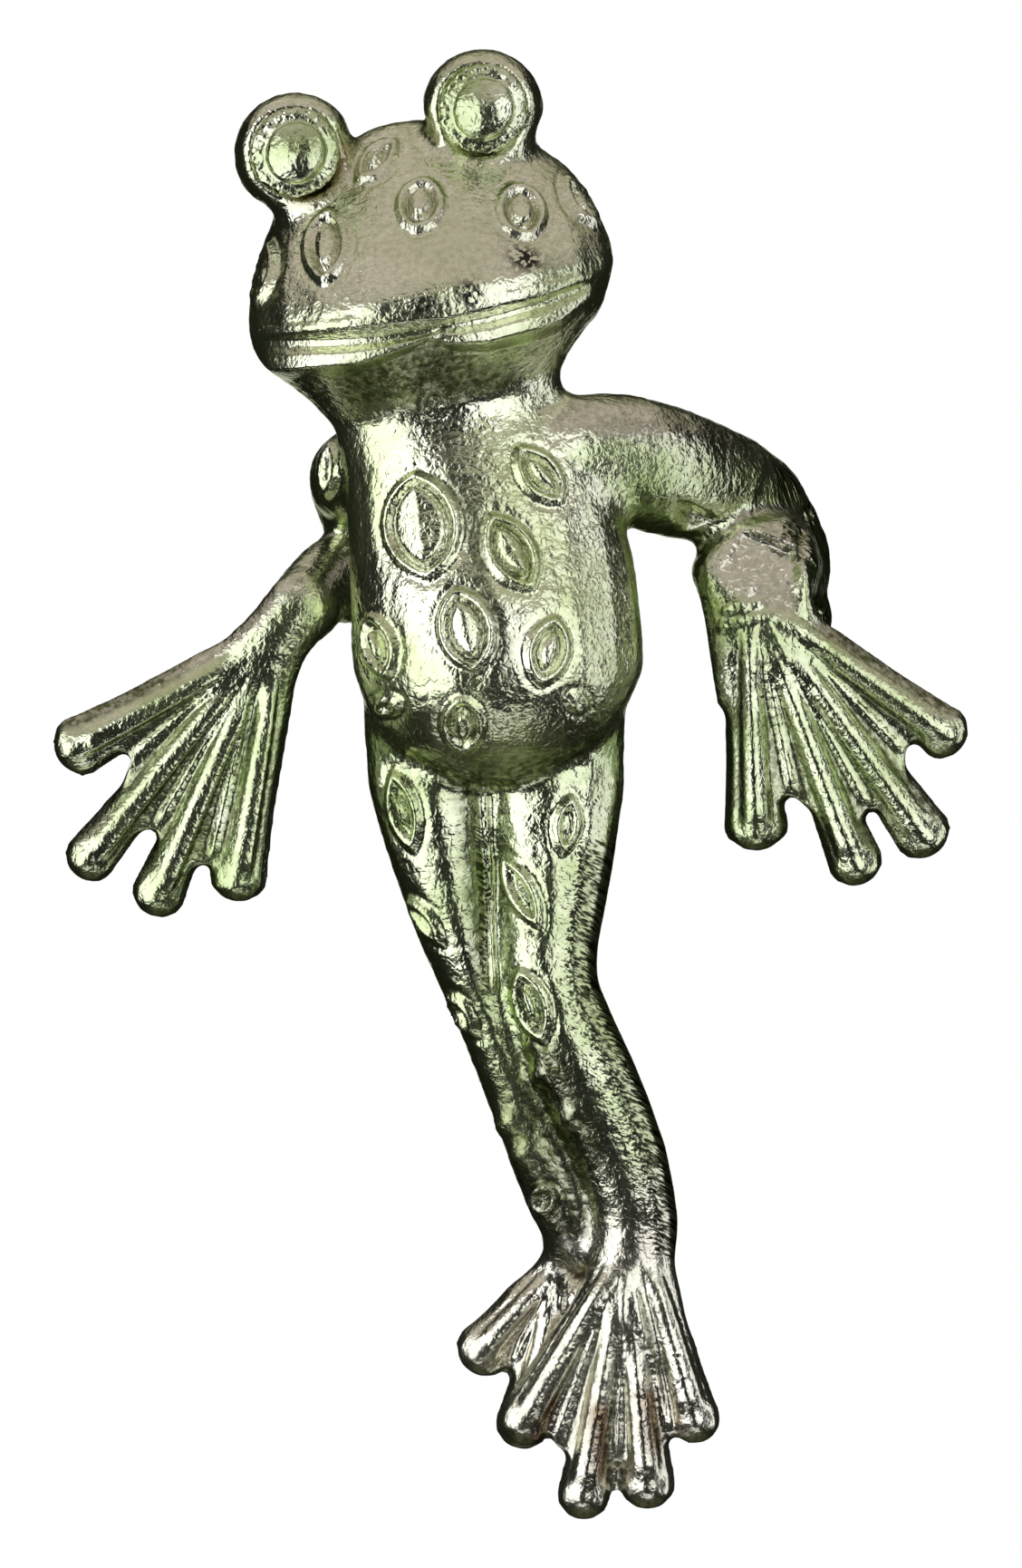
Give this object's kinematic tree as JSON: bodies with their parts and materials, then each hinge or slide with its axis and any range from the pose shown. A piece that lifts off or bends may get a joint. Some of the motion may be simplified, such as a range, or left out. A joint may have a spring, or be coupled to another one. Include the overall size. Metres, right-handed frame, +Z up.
{
  "type": "frog pot hugger",
  "caption": "Cast metal frog that hangs on the rim of a plant pot by its bent arms, elbows inside, webbed hands outside and legs hanging together.",
  "frame": {"origin": "on the pot's rim below the frog's chest: z = 0 is the rim's top, y = 0 the pot's outer wall", "axes": "+Z up, +Y from the frog's back into the pot, +X to the frog's own left; the frog faces -Y"},
  "size_m": [0.0625, 0.0388, 0.1002],
  "materials": {
    "green_silver_plate": "polished plating with a green tint, pebbled casting skin",
    "polished_eye": "smooth polished plating",
    "warm_nickel_plate": "polished plating, warmer and thinner over the toes"
  },
  "bodies": {
    "frog": {"head": "green_silver_plate", "left_eye": "polished_eye", "right_eye": "polished_eye", "torso": "green_silver_plate", "left_arm": "green_silver_plate", "right_arm": "green_silver_plate", "left_leg": "green_silver_plate", "right_leg": "green_silver_plate", "left_foot": "warm_nickel_plate", "right_foot": "warm_nickel_plate"},
    "left_hand": {"left_hand": "green_silver_plate"},
    "right_hand": {"right_hand": "green_silver_plate"}
  },
  "joints": [
    {"name": "left_wrist_bend", "type": "hinge", "parent": "frog", "child": "left_hand", "pos_m": [0.0185, -0.00405, 0.0004], "axis": [-0.8746, 0, -0.4848], "range_deg": [0, 25]},
    {"name": "right_wrist_bend", "type": "hinge", "parent": "frog", "child": "right_hand", "pos_m": [-0.0144, -0.00415, -0.0009], "axis": [-0.788, 0, 0.6157], "range_deg": [0, 25]}
  ]
}
